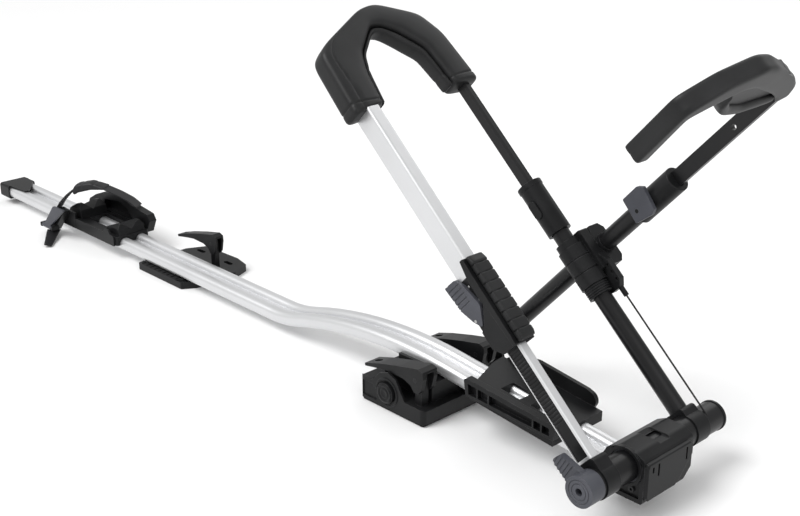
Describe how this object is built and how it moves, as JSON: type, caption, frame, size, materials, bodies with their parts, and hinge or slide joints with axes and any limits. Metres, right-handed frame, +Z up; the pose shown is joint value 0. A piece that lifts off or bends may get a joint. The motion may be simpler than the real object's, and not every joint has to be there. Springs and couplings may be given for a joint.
{
  "type": "roof mounted bike carrier",
  "caption": "Upright roof rack bike carrier: silver twin rib tray, clamp feet, wheel cradles, and a folding frame hoop with ratchet handle and hooked arm.",
  "frame": {"origin": "middle of the underside of the front foot, where it stands on the roof bar", "axes": "+X forward along the tray to the hinge end, +Y to the side of the secondary arm, +Z up from the bar; the ratchet handle is on -Y"},
  "size_m": [1.7085, 0.2803, 0.5709],
  "materials": {
    "silver": "anodised, fine lengthwise grain",
    "black_plastic": "fine moulded texture",
    "black_tube": "satin black powder coat",
    "soft_black": "soft matt moulded cover",
    "foot_rubber": "matt, slightly grained",
    "grey_plastic": "fine moulded texture",
    "strap_plastic": "flexible ribbed strap",
    "steel": "zinc plated"
  },
  "bodies": {
    "tray": {"tray_rail": "silver", "rear_end_cap": "black_plastic", "front_foot_pad": "foot_rubber", "front_foot_body": "black_plastic", "front_foot_saddle": "black_plastic", "front_lever_pins": "black_tube", "front_cradle": "black_plastic", "front_cradle_rail": "black_plastic", "base_housing": "black_plastic", "base_bushes": "grey_plastic", "base_front_cover": "black_plastic", "base_screws": "black_tube", "arm_bracket": "black_plastic", "arm_pin": "black_tube"},
    "front_foot_knob": {"front_foot_knob": "black_plastic"},
    "front_lever_near": {"front_lever_near": "black_plastic"},
    "front_lever_far": {"front_lever_far": "black_plastic"},
    "rear_foot": {"rear_foot_plate": "black_plastic", "rear_foot_saddle": "black_plastic", "rear_foot_pad": "foot_rubber", "rear_lever_pin": "black_tube"},
    "rear_lever": {"rear_lever": "black_plastic"},
    "rear_cradle": {"rear_cradle_frame": "black_plastic", "rear_side_plate": "black_plastic", "rear_cradle_arch": "black_plastic", "strap_band": "strap_plastic", "strap_pad": "soft_black", "strap_ladder": "strap_plastic", "buckle_body": "black_plastic"},
    "buckle_lever": {"buckle_lever": "grey_plastic"},
    "hoop": {"hinge_tube": "black_tube", "far_end_cap": "black_plastic", "near_leg_socket": "black_plastic", "far_leg_socket": "black_plastic", "near_rail": "silver", "rack_insert": "black_plastic", "far_tube": "black_tube", "far_sleeve": "black_plastic", "release_wire": "black_tube"},
    "sleeve_push_tab": {"sleeve_push_tab": "black_plastic"},
    "fold_lever": {"fold_lever": "grey_plastic"},
    "hoop_top": {"near_upper_tube": "silver", "handle_body": "black_plastic", "handle_grip": "soft_black", "handle_pin": "steel", "far_rod": "black_tube", "primary_pad": "soft_black", "pad_lip": "soft_black"},
    "release_lever": {"release_lever": "grey_plastic"},
    "ratchet_pawl": {"ratchet_pawl": "steel"},
    "collar": {"collar": "black_plastic", "pivot_pin": "black_tube", "collar_bracket": "black_plastic"},
    "arm": {"arm_tube": "black_tube", "arm_eye": "black_tube", "arm_block": "black_plastic", "arm_sleeve": "black_plastic"},
    "arm_lever": {"arm_lever": "grey_plastic"},
    "hook": {"hook_bar": "black_tube", "hook_pad": "soft_black"}
  },
  "joints": [
    {"name": "foot_knob_turn", "type": "hinge", "parent": "tray", "child": "front_foot_knob", "pos_m": [-0.009, -0.078, 0.029], "axis": [0, -1, 0], "range_deg": [0, 270]},
    {"name": "front_lever_near_open", "type": "hinge", "parent": "tray", "child": "front_lever_near", "pos_m": [0.042, -0.06, 0.064], "axis": [0, 1, 0], "range_deg": [0, 90]},
    {"name": "front_lever_far_open", "type": "hinge", "parent": "tray", "child": "front_lever_far", "pos_m": [0.042, 0.06, 0.064], "axis": [0, 1, 0], "range_deg": [0, 90]},
    {"name": "rear_foot_slide", "type": "slide", "parent": "tray", "child": "rear_foot", "axis": [1, 0, 0], "range_m": [-0.045, 0.2]},
    {"name": "rear_lever_open", "type": "hinge", "parent": "rear_foot", "child": "rear_lever", "pos_m": [-0.596, 0.0565, 0.056], "axis": [0, 1, 0], "range_deg": [0, 90]},
    {"name": "rear_cradle_slide", "type": "slide", "parent": "tray", "child": "rear_cradle", "axis": [1, 0, 0], "range_m": [-0.15, 0.05]},
    {"name": "buckle_lever_open", "type": "hinge", "parent": "rear_cradle", "child": "buckle_lever", "pos_m": [-0.976, -0.059, 0.017], "axis": [1, 0, 0], "range_deg": [0, 60]},
    {"name": "hoop_fold", "type": "hinge", "parent": "tray", "child": "hoop", "pos_m": [0.376, 0, 0.065], "axis": [0, 1, 0], "range_deg": [-35, 0]},
    {"name": "fold_lever_turn", "type": "hinge", "parent": "hoop", "child": "fold_lever", "pos_m": [0.376, -0.112, 0.065], "axis": [0, 1, 0], "range_deg": [0, 30]},
    {"name": "sleeve_tab_push", "type": "slide", "parent": "hoop", "child": "sleeve_push_tab", "axis": [0, 1, 0], "range_m": [0, 0.002], "stiffness_N_per_m": 400, "springref_m": -0.002},
    {"name": "hoop_height", "type": "slide", "parent": "hoop", "child": "hoop_top", "axis": [-0.7396, 0, 0.673], "range_m": [-0.12, 0.08]},
    {"name": "release_lever_squeeze", "type": "hinge", "parent": "hoop_top", "child": "release_lever", "pos_m": [0.18678, -0.102, 0.21068], "axis": [0, 1, 0], "range_deg": [0, 6], "stiffness_Nm_per_rad": 0.5, "springref_deg": -11.46},
    {"name": "pawl_lift", "type": "slide", "parent": "hoop_top", "child": "ratchet_pawl", "axis": [0, -1, 0], "range_m": [0, 0.0022]},
    {"name": "collar_slide", "type": "slide", "parent": "hoop", "child": "collar", "axis": [-0.7396, 0, 0.673], "range_m": [-0.1626, 0]},
    {"name": "arm_fold", "type": "hinge", "parent": "tray", "child": "arm", "pos_m": [0, 0.122, 0.0375], "axis": [0, 1, 0], "range_deg": [0, 37]},
    {"name": "arm_lever_press", "type": "hinge", "parent": "arm", "child": "arm_lever", "pos_m": [0.26176, 0.101, 0.3212], "axis": [0, 1, 0], "range_deg": [0, 8], "stiffness_Nm_per_rad": 0.3, "springref_deg": -8.59},
    {"name": "hook_reach", "type": "slide", "parent": "arm", "child": "hook", "axis": [0.6743, 0, 0.7385], "range_m": [-0.1, 0.06]}
  ],
  "couplings": [
    {"joint": "collar_slide", "follows": "hoop_fold", "m_per_rad": 0.26602},
    {"joint": "arm_fold", "follows": "hoop_fold", "ratio": -1.0543},
    {"joint": "pawl_lift", "follows": "release_lever_squeeze", "m_per_rad": 0.02101}
  ]
}
